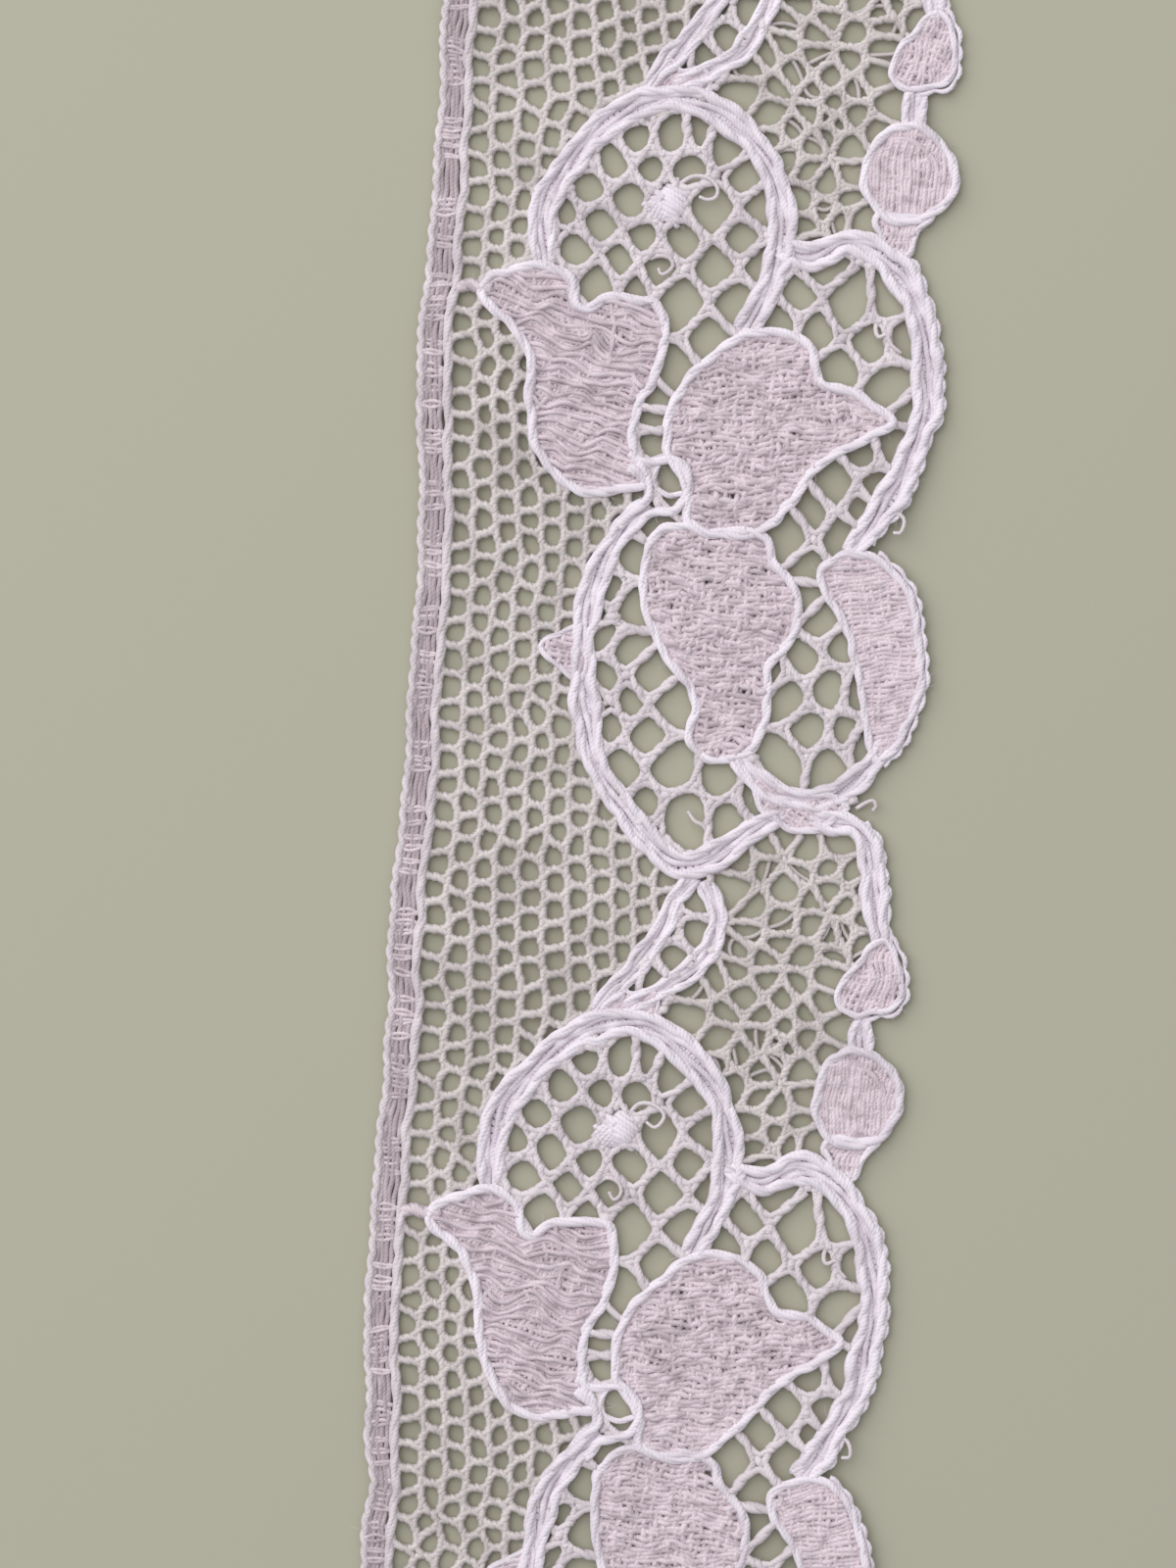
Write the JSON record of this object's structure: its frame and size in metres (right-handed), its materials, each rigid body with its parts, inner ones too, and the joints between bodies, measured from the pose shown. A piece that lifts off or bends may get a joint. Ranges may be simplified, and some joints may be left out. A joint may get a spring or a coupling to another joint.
{
  "type": "lace trim",
  "caption": "Narrow lace edging with a straight woven footing, a net ground, leaf, ring and bud motifs outlined in heavier cord, and a scalloped outer edge; sewn on as trimming.",
  "frame": {"origin": "middle of the trim's box, on its underside", "axes": "+X from the footing to the scalloped edge, +Y along the length, +Z out of the right side"},
  "size_m": [0.0322, 0.112, 0.0015],
  "materials": {
    "cotton_thread": "matte cotton thread"
  },
  "bodies": {
    "root": {"lace_trim": "cotton_thread"}
  },
  "joints": []
}
